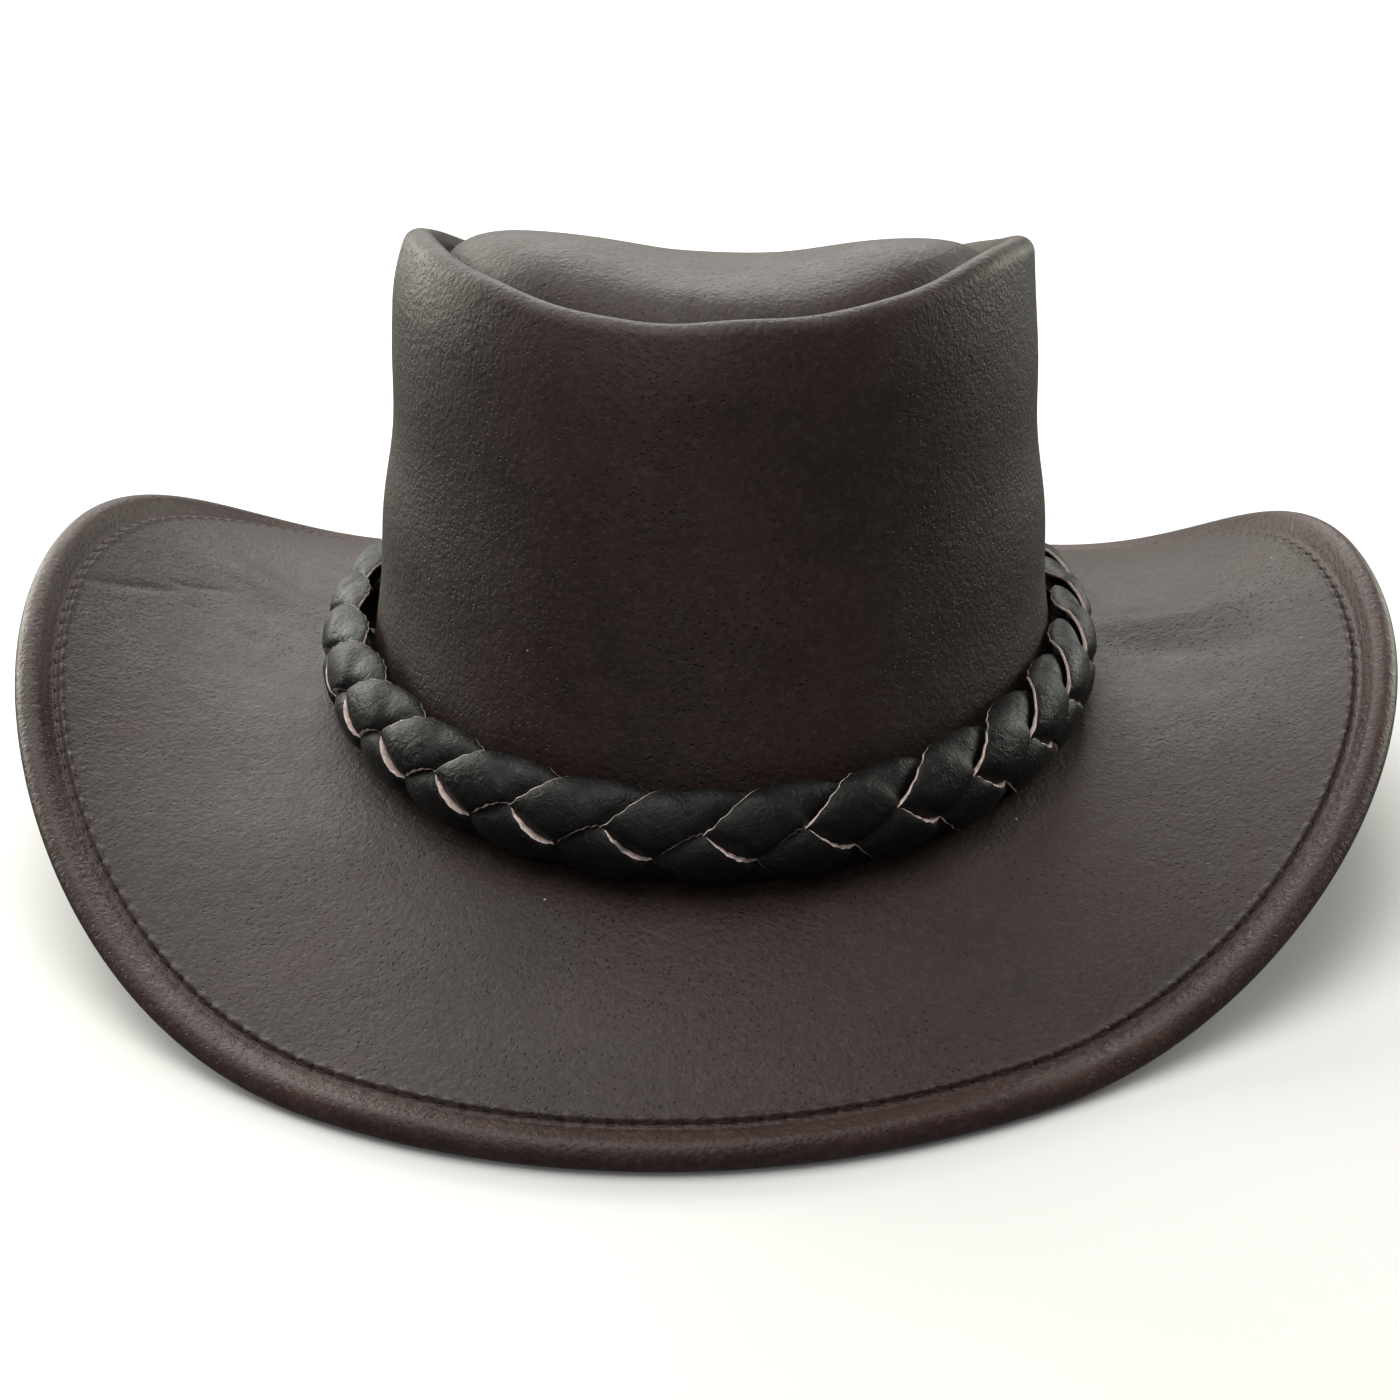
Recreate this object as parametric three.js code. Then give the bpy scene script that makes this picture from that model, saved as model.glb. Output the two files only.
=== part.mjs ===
// A wide-brimmed leather cowboy hat with a three-strand braided band.
// Millimetres, +Z up, the front of the hat faces -Y, and it stands on the front and back of its brim at z = 0.
// Every section is drawn in the upright plane that leaves the head oval squarely: x is the distance outwards, y the height.
import * as THREE from "three";

// The head oval is the outside of the crown where it meets the brim.
const HEAD_HALF_WIDTH = 89.5;
const HEAD_HALF_LENGTH = 105;
const AROUND = 48; // sections round the hat
const STEP = (2 * Math.PI) / AROUND;
const BACK = Math.PI;

// The brim: how far it reaches, how high it starts and ends, and its slope at both ends.
const BRIM_REACH_FRONT = 79;
const BRIM_REACH_SIDE = 84.5;
const BRIM_SKEW = 3; // the front right is this much shorter and the front left as much longer
const BRIM_SWERVE = 5; // on the right the front and the back are shorter again, and the side fuller
const JOIN_HEIGHT_FRONT = 28.5;
const JOIN_HEIGHT_SIDE = 34;
const SIDE_LIFT = 58; // how much higher the edge is at its highest point
const LIFT_CENTRE = { left: THREE.MathUtils.degToRad(98), right: THREE.MathUtils.degToRad(97) };
const LIFT_SPREAD = { front: THREE.MathUtils.degToRad(70), back: THREE.MathUtils.degToRad(58) };
const CROWN_SHIFT = 2.5; // the crown stands this far to the right of the brim's middle
const SLOPE_IN = { front: -0.3, side: -0.1 };
const SLOPE_OUT = { front: -Math.tan(Math.PI / 8), side: 0.8 };
const SHEET_GAP = 0.15; // from the middle of the brim to each of its two sheets
const UPPER_THICK = 1.6;
const LOWER_THICK = 1.3;

// The rolled edge: the upper sheet goes round a wire and is sewn down behind it.
const ROLL_RADIUS = 3.6;
const ROLL_HOLLOW = 2.1;
const HOOK_STEP = THREE.MathUtils.degToRad(27); // the roll is drawn in facets of this turn
const HEM_WIDTH = 7; // from the wire to the row of stitches
const WIRE_RADIUS = 1.1;

// The crown: a wall that leans in to a folded rim, and a creased top panel behind the fold.
const LEAN_FRONT = 17;
const LEAN_SIDE = 10;
const WAIST = 2.2; // how far the wall curves in at half its height
const WALL_THICK = 1.8;
const WALL_DROP = 2; // how far the wall reaches below the brim's join
const FOLD_RADIUS = 3.2;
const FOLD_TUCK = 5; // how far the folded edge reaches down inside
const TOP_HEIGHT = 158;
const TOP_FALL = 0.32; // slope of the top towards the back
const TOP_FALL_FROM = -28;
const TOP_FALL_BLEND = 10;
const RIM_DIP = 2; // the rim is lower in the middle of the front and back
const RIM_CREST = 5;
const CLEAR = 0.35; // between pieces that touch

// The sweatband inside the crown.
const SWEAT_THICK = 1.3;
const SWEAT_TALL = 35;

// The braid: three flat strips in a wave each, one third of a wave apart.
const STRANDS = 3;
const BRAID_WAVES = 9.5;
const STRIP_WIDTH = 7;
const STRIP_THICK = 1.5;
const WAVE_HEIGHT = 7.5;
const LAYER_RISE = 3.2; // from the middle of a strip to the middle of the one that it crosses
const BRAID_BULGE = 3.2;
const BRAID_OUT = 3.6;
const BRAID_UP = 13.6;
const BRAID_TILT = THREE.MathUtils.degToRad(9);
const STEPS_PER_WAVE = 16;

const THREAD = 0.6;

const leather = { color: 0x2e2220, roughness: 0.62, metalness: 0 };
const suede = { color: 0x3a2c28, roughness: 0.9, metalness: 0 };
const laceLeather = { color: 0x101012, roughness: 0.45, metalness: 0 };
const thread = { color: 0x241410, roughness: 0.8, metalness: 0 };
const tape = { color: 0x1c1816, roughness: 0.95, metalness: 0 };
const steel = { color: 0x8c9094, roughness: 0.35, metalness: 1 };
const brass = { color: 0xb08d4a, roughness: 0.3, metalness: 1 };

const hat = new THREE.Group();

// ---- shared geometry ----

const point = (out, up) => new THREE.Vector2(out, up);
const mix = THREE.MathUtils.lerp;

// An angle of 0 is the front, a quarter turn is the +X side and a half turn is the back.
function squareOut(angle) {
  const x = HEAD_HALF_LENGTH * Math.sin(angle);
  const y = -HEAD_HALF_WIDTH * Math.cos(angle);
  return new THREE.Vector3(x, y, 0).normalize();
}

function place(angle, p) {
  const out = squareOut(angle).multiplyScalar(p.x);
  const x = HEAD_HALF_WIDTH * Math.sin(angle) + out.x;
  const y = -HEAD_HALF_LENGTH * Math.cos(angle) + out.y;
  return new THREE.Vector3(x, y, p.y);
}

// A closed body through rings of points. The rings close on themselves, or both ends get a flat cap.
function loft(rings, closed) {
  const count = rings[0].length;
  const index = [];
  for (let i = 0; i < (closed ? rings.length : rings.length - 1); i++) {
    const next = (i + 1) % rings.length;
    for (let j = 0; j < count; j++) {
      const beside = (j + 1) % count;
      index.push(i * count + j, i * count + beside, next * count + beside);
      index.push(i * count + j, next * count + beside, next * count + j);
    }
  }
  if (!closed) {
    const last = (rings.length - 1) * count;
    for (const [a, b, c] of capOf(rings[0])) index.push(c, b, a);
    for (const [a, b, c] of capOf(rings[rings.length - 1])) index.push(last + a, last + b, last + c);
  }
  const geometry = new THREE.BufferGeometry().setFromPoints(rings.flat()).setIndex(index);
  if (signedVolume(geometry) < 0) geometry.setIndex(index.reverse());
  geometry.computeVertexNormals();
  return geometry;
}

// The triangles of a flat outline in space. They keep the outline's own direction.
function capOf(ring) {
  const normal = new THREE.Vector3();
  ring.forEach((p, i) => normal.add(p.clone().cross(ring[(i + 1) % ring.length])));
  const across = ring[1].clone().sub(ring[0]).normalize();
  const up = normal.normalize().clone().cross(across).normalize();
  const flat = ring.map((p) => new THREE.Vector2(p.dot(across), p.dot(up)));
  return THREE.ShapeUtils.triangulateShape(flat, []);
}

function signedVolume(geometry) {
  const position = geometry.getAttribute("position");
  const index = geometry.getIndex().array;
  const [a, b, c] = [new THREE.Vector3(), new THREE.Vector3(), new THREE.Vector3()];
  let sum = 0;
  for (let i = 0; i < index.length; i += 3) {
    a.fromBufferAttribute(position, index[i]);
    b.fromBufferAttribute(position, index[i + 1]);
    c.fromBufferAttribute(position, index[i + 2]);
    sum += a.dot(b.cross(c));
  }
  return sum;
}

// Sections all the way round, set so that one flat facet is centred on the front and one on the back.
function allRound(section) {
  const rings = [];
  for (let i = 0; i < AROUND; i++) {
    const angle = (i + 0.5) * STEP - Math.PI;
    rings.push(section(angle).map((p) => place(angle, p)));
  }
  return loft(rings, true);
}

// Sections from one angle to another, with flat ends.
function partRound(section, from, to, count) {
  const rings = [];
  for (let i = 0; i <= count; i++) {
    const angle = mix(from, to, i / count);
    rings.push(section(angle).map((p) => place(angle, p)));
  }
  return loft(rings, false);
}

function circle(centre, radius, count) {
  const turn = (i) => ((i + 0.5) * 2 * Math.PI) / count;
  return Array.from({ length: count }, (_, i) =>
    point(centre.x + radius * Math.cos(turn(i)), centre.y + radius * Math.sin(turn(i))),
  );
}

function add(name, geometry, look) {
  const mesh = new THREE.Mesh(geometry, new THREE.MeshStandardMaterial(look));
  mesh.name = name;
  hat.add(mesh);
  return mesh;
}

// ---- the brim's shape ----

// 0 along the front and back, 1 where the side of the brim is highest.
function sideLift(angle) {
  const turned = Math.atan2(Math.sin(angle), Math.cos(angle));
  const past = Math.abs(turned) - (turned > 0 ? LIFT_CENTRE.right : LIFT_CENTRE.left);
  const t = past / (past < 0 ? LIFT_SPREAD.front : LIFT_SPREAD.back);
  return Math.abs(t) < 1 ? 0.5 + 0.5 * Math.cos(Math.PI * t) : 0;
}

const joinHeight = (angle) => mix(JOIN_HEIGHT_FRONT, JOIN_HEIGHT_SIDE, Math.sin(angle) ** 2);
function brimReach(angle) {
  const across = Math.sin(angle);
  const skew = BRIM_SKEW * Math.sin(2 * angle);
  const swerve = BRIM_SWERVE * Math.sin(4 * angle) * ((1 + across) / 2) ** 2;
  return mix(BRIM_REACH_FRONT, BRIM_REACH_SIDE, across ** 2) - CROWN_SHIFT * across - skew - swerve;
}

// The line midway between the two sheets, from the crown (share 0) to the middle of the wire (share 1).
function brimPoint(angle, share) {
  const lift = sideLift(angle);
  const reach = brimReach(angle) - ROLL_RADIUS;
  const start = joinHeight(angle);
  const end = ROLL_RADIUS * Math.cos(HOOK_STEP / 2) + SIDE_LIFT * lift;
  const slopeIn = mix(SLOPE_IN.front, SLOPE_IN.side, lift);
  const slopeOut = mix(SLOPE_OUT.front, SLOPE_OUT.side, lift);
  const s = share;
  const height =
    start * (2 * s ** 3 - 3 * s ** 2 + 1) +
    reach * slopeIn * (s ** 3 - 2 * s ** 2 + s) +
    end * (3 * s ** 2 - 2 * s ** 3) +
    reach * slopeOut * (s ** 3 - s ** 2);
  return point(reach * s, height);
}

// The directions along the brim and square to it, at a share of its reach.
function brimAxes(angle, share) {
  const nudge = 1e-3;
  const along = brimPoint(angle, share + nudge).sub(brimPoint(angle, share - nudge)).normalize();
  return { along, up: point(-along.y, along.x) };
}

// A point given by its distance outwards from the wire and its distance above it.
function fromWire(angle, outwards, above) {
  const { along, up } = brimAxes(angle, 1);
  const wire = brimPoint(angle, 1);
  return wire.addScaledVector(along, outwards).addScaledVector(up, above);
}

// Points on a surface a given distance above the middle of the brim, from the crown to the hem.
function brimLine(angle, above, steps, from = 0, outerGap = HEM_WIDTH + 3) {
  const last = 1 - outerGap / (brimReach(angle) - ROLL_RADIUS);
  return Array.from({ length: steps + 1 }, (_, i) => {
    const share = mix(from, last, i / steps);
    return brimPoint(angle, share).addScaledVector(brimAxes(angle, share).up, above);
  });
}

// ---- the crown's shape ----

// The height of the top's highest surface at a distance y from the middle: level in front, falling to the back.
function topHeight(y) {
  const past = TOP_FALL_BLEND * Math.log(1 + Math.exp((y - TOP_FALL_FROM) / TOP_FALL_BLEND));
  return TOP_HEIGHT - TOP_FALL * past;
}

const lean = (angle) => mix(LEAN_FRONT, LEAN_SIDE, Math.sin(angle) ** 2);

function rimHeight(angle) {
  const y = place(angle, point(-lean(angle), 0)).y;
  return topHeight(y) - RIM_DIP + RIM_CREST * Math.abs(Math.sin(angle)) ** 1.5;
}

// The outer face of the wall at a share of its height, moved inwards by a depth.
function wallPoint(angle, share, depth) {
  const foot = joinHeight(angle) - WALL_DROP;
  const head = rimHeight(angle) - FOLD_RADIUS;
  const waist = Math.sin(Math.PI * share) * WAIST;
  return point(-lean(angle) * share - waist - depth, mix(foot, head, share));
}

// The share of the wall's height that is at a height above the brim's join.
function shareAbove(angle, above) {
  const foot = joinHeight(angle) - WALL_DROP;
  return (above + WALL_DROP) / (rimHeight(angle) - FOLD_RADIUS - foot);
}

// ---- the crown ----

const WALL_STEPS = 6;
const SEAM_HALF = THREE.MathUtils.degToRad(0.35);

function wallSection(angle) {
  const shares = Array.from({ length: WALL_STEPS }, (_, i) => i / WALL_STEPS);
  const centre = point(-lean(angle) - FOLD_RADIUS, rimHeight(angle) - FOLD_RADIUS);
  const arc = (radius, turns) =>
    turns.map((t) => point(centre.x + radius * Math.cos(Math.PI * t), centre.y + radius * Math.sin(Math.PI * t)));
  const inside = FOLD_RADIUS - WALL_THICK;
  return [
    ...shares.map((s) => wallPoint(angle, s, 0)),
    ...arc(FOLD_RADIUS, [0, 0.2, 0.4, 0.6, 0.8, 1]),
    point(centre.x - FOLD_RADIUS, centre.y - FOLD_TUCK),
    point(centre.x - inside, centre.y - FOLD_TUCK),
    ...arc(inside, [1, 0.5, 0]),
    ...shares.map((s) => wallPoint(angle, s, WALL_THICK)).reverse(),
  ];
}

function crownSidePanel() {
  return partRound(wallSection, -BACK + SEAM_HALF, BACK - SEAM_HALF, AROUND);
}

// The top panel: its edge is sewn behind the fold, and its middle is creased from front to back.
const PANEL_THICK = 1.8;
const PANEL_RINGS = [0.1, 0.3, 0.5, 0.68, 0.82, 0.92, 0.98, 1];
const CREASE_DEPTH = 7;
const CREASE_HALF_WIDTH = 30;
const PANEL_SINK = -1;
const PANEL_EDGE_CURVE = 12;

function panelPoint(angle, share, below) {
  const seamOut = -lean(angle) - 2 * FOLD_RADIUS - CLEAR;
  const seamHeight = rimHeight(angle) - FOLD_RADIUS - FOLD_TUCK + 1;
  const edge = place(angle, point(seamOut, seamHeight));
  const [x, y] = [edge.x * share, edge.y * share];
  const crease = CREASE_DEPTH * Math.exp(-((x / CREASE_HALF_WIDTH) ** 2));
  const puffed = topHeight(y) - PANEL_SINK - crease;
  return new THREE.Vector3(x, y, mix(puffed, seamHeight, share ** PANEL_EDGE_CURVE) - below);
}

function crownTopPanel() {
  const ring = (share, below) =>
    Array.from({ length: AROUND }, (_, i) => panelPoint((i + 0.5) * STEP - Math.PI, share, below));
  const above = PANEL_RINGS.map((share) => ring(share, 0));
  const under = PANEL_RINGS.map((share) => ring(share, PANEL_THICK)).reverse();
  return loft([...above, ...under], false);
}

// A tape covers the top seam on the inside, hanging from the tucked edge.
function topSeamTape() {
  return allRound((angle) => {
    const out = -lean(angle) - 2 * FOLD_RADIUS;
    const top = rimHeight(angle) - FOLD_RADIUS - FOLD_TUCK - PANEL_THICK - 1;
    return [point(out - 5, top), point(out + 4.5, top), point(out + 4.5, top - 0.8), point(out - 5, top - 0.8)];
  });
}

// A strip covers the back seam inside the wall, from above the sweatband to the top seam.
const BACK_TAPE_HALF = THREE.MathUtils.degToRad(5);

function backSeamTape() {
  const rings = [];
  for (let i = 0; i <= WALL_STEPS; i++) {
    const share = mix(shareAbove(BACK, SWEAT_TALL + 3), 0.84, i / WALL_STEPS);
    const at = (turn, depth) => place(BACK + turn, wallPoint(BACK + turn, share, WALL_THICK + depth));
    rings.push([
      at(-BACK_TAPE_HALF, CLEAR + 0.3),
      at(BACK_TAPE_HALF, CLEAR + 0.3),
      at(BACK_TAPE_HALF, CLEAR + 1.1),
      at(-BACK_TAPE_HALF, CLEAR + 1.1),
    ]);
  }
  return loft(rings, false);
}

// One row of stitches stands on the wall beside the back seam.
function backSeamThread(side) {
  const turn = BACK + side * THREE.MathUtils.degToRad(2.2);
  const half = THREAD / 2 / HEAD_HALF_WIDTH;
  const rings = [];
  for (let i = 0; i <= WALL_STEPS; i++) {
    const share = mix(shareAbove(BACK, 27), 0.97, i / WALL_STEPS);
    const at = (angle, depth) => place(angle, wallPoint(angle, share, depth));
    rings.push([
      at(turn - half, -CLEAR),
      at(turn + half, -CLEAR),
      at(turn + half, -CLEAR - THREAD),
      at(turn - half, -CLEAR - THREAD),
    ]);
  }
  return loft(rings, false);
}

// ---- the brim ----

// Points round the wire, from its upper side out and under it, or back again.
function hookArc(angle, radius, direction) {
  return Array.from({ length: 9 }, (_, i) => {
    const turn = direction * (4 - i) * HOOK_STEP;
    return fromWire(angle, radius * Math.cos(turn), radius * Math.sin(turn));
  });
}

// The upper sheet runs out over the wire, round it and back to the stitches.
function brimUpper() {
  const inner = SHEET_GAP;
  const outer = SHEET_GAP + UPPER_THICK;
  return allRound((angle) => [
    ...brimLine(angle, outer, 5, 0.008),
    fromWire(angle, -HEM_WIDTH, outer - 0.3),
    fromWire(angle, -6, outer + 0.9),
    ...hookArc(angle, ROLL_RADIUS, 1),
    fromWire(angle, -6, -outer - 0.6),
    fromWire(angle, -HEM_WIDTH + 0.6, -outer),
    fromWire(angle, -HEM_WIDTH + 0.6, -inner),
    fromWire(angle, -6, -outer + 1),
    ...hookArc(angle, ROLL_HOLLOW, -1),
    fromWire(angle, -6, outer - 0.7),
    fromWire(angle, -HEM_WIDTH, inner - 0.05),
    ...brimLine(angle, inner, 5, 0.008).reverse(),
  ]);
}

function brimLower() {
  const top = -SHEET_GAP;
  const bottom = -SHEET_GAP - LOWER_THICK;
  return allRound((angle) => [
    ...brimLine(angle, bottom, 5, 0.008),
    fromWire(angle, -HEM_WIDTH, bottom - 0.1),
    fromWire(angle, -HEM_WIDTH, top - 0.1),
    ...brimLine(angle, top, 5, 0.008).reverse(),
  ]);
}

function brimWire() {
  return allRound((angle) => circle(brimPoint(angle, 1), WIRE_RADIUS, 6));
}

// A crimped tube joins the two ends of the wire at the back.
function wireJointSleeve() {
  const [inside, outside, half] = [1.5, 1.8, 7];
  const profile = [point(inside, -half), point(outside, -half), point(outside, half), point(inside, half)];
  return new THREE.LatheGeometry([...profile, profile[0]], 16);
}

function edgeThread(outwards, above) {
  return allRound((angle) => circle(fromWire(angle, outwards, above), THREAD / 2, 4));
}

// ---- the sweatband ----

function sweatSection(depth, thick, low, high) {
  return (angle) => {
    const at = (above, inwards) => wallPoint(angle, shareAbove(angle, above), WALL_THICK + CLEAR + inwards);
    const rows = [low, mix(low, high, 0.5), high];
    return [...rows.map((row) => at(row, depth + thick)), ...rows.map((row) => at(row, depth)).reverse()];
  };
}

function sweatband() {
  const half = THREE.MathUtils.degToRad(0.4);
  return partRound(sweatSection(0.2, SWEAT_THICK, -1.5, SWEAT_TALL), -BACK + half, BACK - half, AROUND);
}

function sweatbandJointTab() {
  const half = THREE.MathUtils.degToRad(7);
  return partRound(sweatSection(0.2 + SWEAT_THICK + CLEAR, 0.9, 3, SWEAT_TALL - 4), BACK - half, BACK + half, 4);
}

function sweatbandThread() {
  return allRound((angle) => {
    const inwards = WALL_THICK + CLEAR + 0.2 + SWEAT_THICK + CLEAR + THREAD / 2;
    return circle(wallPoint(angle, shareAbove(angle, 0.5), inwards), THREAD / 2, 4);
  });
}

// ---- the braided band ----

// A table of the band's length round the hat, so that the braid's waves are all equally long.
const TABLE = 720;
const bandMiddle = (angle) => place(angle, point(BRAID_OUT + BRAID_BULGE / 2, 0));
const lengths = [0];
for (let i = 1; i <= TABLE; i++) {
  const [before, here] = [i - 1, i].map((k) => bandMiddle((k / TABLE) * 2 * Math.PI - Math.PI));
  lengths.push(lengths[i - 1] + before.distanceTo(here));
}
const BAND_LENGTH = lengths[TABLE];
const WAVE_LENGTH = BAND_LENGTH / BRAID_WAVES;

function angleAt(along) {
  let i = 1;
  while (i < TABLE && lengths[i] < along) i++;
  const part = (along - lengths[i - 1]) / (lengths[i] - lengths[i - 1]);
  return ((i - 1 + part) / TABLE) * 2 * Math.PI - Math.PI;
}

const phaseOf = (strand, along) => (2 * Math.PI * along) / WAVE_LENGTH + (2 * Math.PI * strand) / STRANDS;
const waveOf = (strand, along) => WAVE_HEIGHT * Math.sin(phaseOf(strand, along));
const steepness = (strand, along) =>
  ((WAVE_HEIGHT * 2 * Math.PI) / WAVE_LENGTH) * Math.cos(phaseOf(strand, along));

// How much a strip covers a place on the band: 1 on the strip, fading to 0 beside it.
const FADE = 3.2;
function coverage(strand, along, across) {
  const away = Math.abs(across - waveOf(strand, along)) / Math.hypot(1, steepness(strand, along));
  return 1 - THREE.MathUtils.smoothstep(away, STRIP_WIDTH / 2, STRIP_WIDTH / 2 + FADE);
}

// In the upper half the rising strip lies on top, and in the lower half the falling one.
function liesOver(strand, other, along) {
  const middle = waveOf(strand, along) + waveOf(other, along);
  const rising = Math.cos(phaseOf(strand, along)) - Math.cos(phaseOf(other, along));
  return Math.sign(middle * rising) || 1;
}

function layerHeight(strand, along, across) {
  let height = 0;
  for (let other = 0; other < STRANDS; other++)
    if (other !== strand) height += liesOver(strand, other, along) * coverage(other, along, across);
  return (height * LAYER_RISE) / 2;
}

// A place on the band: along it, up it, and out from it. The braid's face is rounded.
function onBand(along, across, out) {
  const angle = angleAt(along);
  const bulge = BRAID_BULGE * (1 - (across / (WAVE_HEIGHT + STRIP_WIDTH / 2)) ** 2);
  const rise = out + bulge;
  const x = BRAID_OUT - Math.sin(BRAID_TILT) * across + Math.cos(BRAID_TILT) * rise;
  const y = joinHeight(angle) + BRAID_UP + Math.cos(BRAID_TILT) * across + Math.sin(BRAID_TILT) * rise;
  return place(angle, point(x, y));
}

const END_GAP = 2.5; // from each end of the strips to the joint at the back, inside the keeper

function braidStrand(strand) {
  const steps = Math.round(BRAID_WAVES * STEPS_PER_WAVE);
  const rings = [];
  for (let i = 0; i <= steps; i++) {
    const along = mix(END_GAP, BAND_LENGTH - END_GAP, i / steps);
    const slope = steepness(strand, along);
    const row = (share, side) => {
      const sideways = share * STRIP_WIDTH / 2;
      const u = along - (sideways * slope) / Math.hypot(1, slope);
      const v = waveOf(strand, along) + sideways / Math.hypot(1, slope);
      return onBand(u, v, layerHeight(strand, u, v) + (side * STRIP_THICK) / 2);
    };
    const across = [-1, -0.33, 0.33, 1];
    rings.push([...across.map((share) => row(share, 1)), ...across.map((share) => row(share, -1)).reverse()]);
  }
  return loft(rings, false);
}

// A folded leather keeper covers the joint in the braid: top, face and bottom.
const KEEPER_HALF_LENGTH = 14;
const KEEPER_THICK = 1.2;
const KEEPER_HALF_HEIGHT = WAVE_HEIGHT + STRIP_WIDTH / 2 + 0.9;
const KEEPER_OUT = BRAID_BULGE + LAYER_RISE / 2 + STRIP_THICK / 2 + 0.5;

function keeperRing(angle, outline) {
  return outline.map((p) => {
    const x = BRAID_OUT - Math.sin(BRAID_TILT) * p.y + Math.cos(BRAID_TILT) * p.x;
    const y = joinHeight(angle) + BRAID_UP + Math.cos(BRAID_TILT) * p.y + Math.sin(BRAID_TILT) * p.x;
    return point(x, y);
  });
}

function bandKeeper() {
  const half = KEEPER_HALF_LENGTH / (HEAD_HALF_WIDTH + BRAID_OUT);
  const [face, top, thick] = [KEEPER_OUT, KEEPER_HALF_HEIGHT, KEEPER_THICK];
  const outline = [
    point(-1, top),
    point(face - 2, top),
    point(face, top - 3),
    point(face, 3 - top),
    point(face - 2, -top),
    point(-1, -top),
    point(-1, -top - thick),
    point(face - 1.6, -top - thick),
    point(face + thick, 2.6 - top),
    point(face + thick, top - 2.6),
    point(face - 1.6, top + thick),
    point(-1, top + thick),
  ];
  return partRound((angle) => keeperRing(angle, outline), BACK - half, BACK + half, 6);
}

// The keeper's stitches, one row at each end of it.
function keeperThread(side) {
  const offset = (side * (KEEPER_HALF_LENGTH - 3)) / (HEAD_HALF_WIDTH + BRAID_OUT);
  const half = THREAD / 2 / HEAD_HALF_WIDTH;
  const [low, high] = [KEEPER_OUT + KEEPER_THICK + CLEAR, KEEPER_OUT + KEEPER_THICK + CLEAR + THREAD];
  const tall = KEEPER_HALF_HEIGHT - 4;
  const outline = [point(low, -tall), point(high, -tall), point(high, tall), point(low, tall)];
  return partRound((angle) => keeperRing(angle, outline), BACK + offset - half, BACK + offset + half, 1);
}

// ---- the assembly ----

add("crown_side_panel", crownSidePanel(), leather);
add("crown_top_panel", crownTopPanel(), leather);
add("top_seam_tape", topSeamTape(), tape);
add("back_seam_tape", backSeamTape(), tape);
add("back_seam_thread_left", backSeamThread(1), thread);
add("back_seam_thread_right", backSeamThread(-1), thread);
add("brim_upper", brimUpper(), leather);
add("brim_lower", brimLower(), suede);
add("brim_wire", brimWire(), steel);
const sleeve = add("wire_joint_sleeve", wireJointSleeve(), brass);
const [wireLeft, wireRight] = [BACK + STEP / 2, BACK - STEP / 2].map((angle) => place(angle, brimPoint(angle, 1)));
sleeve.position.lerpVectors(wireLeft, wireRight, 0.5);
sleeve.quaternion.setFromUnitVectors(new THREE.Vector3(0, 1, 0), wireRight.sub(wireLeft).normalize());
add("edge_thread_top", edgeThread(-HEM_WIDTH - 0.2, SHEET_GAP + UPPER_THICK + CLEAR + 0.05), thread);
add("edge_thread_bottom", edgeThread(-HEM_WIDTH + 0.7, -SHEET_GAP - UPPER_THICK - 0.6 - CLEAR), thread);
add("sweatband", sweatband(), suede);
add("sweatband_joint_tab", sweatbandJointTab(), suede);
add("sweatband_thread", sweatbandThread(), thread);
for (let i = 0; i < STRANDS; i++) add(`braid_strand_${i + 1}`, braidStrand(i), laceLeather);
add("band_keeper", bandKeeper(), laceLeather);
add("keeper_thread_left", keeperThread(1), thread);
add("keeper_thread_right", keeperThread(-1), thread);

// The hat stands at z = 0 with its box centred on the origin.
const box = new THREE.Box3().setFromObject(hat);
hat.position.set(-(box.min.x + box.max.x) / 2, -(box.min.y + box.max.y) / 2, -box.min.z);

export default hat;
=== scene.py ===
import math

import bpy
import numpy as np
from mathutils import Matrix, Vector


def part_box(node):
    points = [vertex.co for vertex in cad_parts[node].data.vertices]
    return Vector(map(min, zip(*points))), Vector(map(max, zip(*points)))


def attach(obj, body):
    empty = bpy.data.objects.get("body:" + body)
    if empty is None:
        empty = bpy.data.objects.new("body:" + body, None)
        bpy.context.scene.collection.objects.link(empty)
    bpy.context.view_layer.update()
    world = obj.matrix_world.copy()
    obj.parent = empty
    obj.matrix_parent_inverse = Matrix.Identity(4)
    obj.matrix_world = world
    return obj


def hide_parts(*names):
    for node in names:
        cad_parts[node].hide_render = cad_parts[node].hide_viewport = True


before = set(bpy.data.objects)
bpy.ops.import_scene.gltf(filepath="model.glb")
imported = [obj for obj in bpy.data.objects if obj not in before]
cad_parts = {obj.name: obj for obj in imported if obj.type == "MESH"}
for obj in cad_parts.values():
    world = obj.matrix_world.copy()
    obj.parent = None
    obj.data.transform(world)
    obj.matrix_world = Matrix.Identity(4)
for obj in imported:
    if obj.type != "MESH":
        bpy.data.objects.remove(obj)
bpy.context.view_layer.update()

MM = 0.001
BACK = math.pi

# ---- driving dimensions, the same as the frame's ----
WALL_LOW, WALL_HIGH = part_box("crown_side_panel")
HAT_X = (WALL_LOW.x + WALL_HIGH.x) / 2 / MM
HAT_Y = (WALL_LOW.y + WALL_HIGH.y) / 2 / MM
HEAD_HALF_WIDTH = (WALL_HIGH.x - WALL_LOW.x) / 2 / MM
HEAD_HALF_LENGTH = (WALL_HIGH.y - WALL_LOW.y) / 2 / MM

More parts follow.
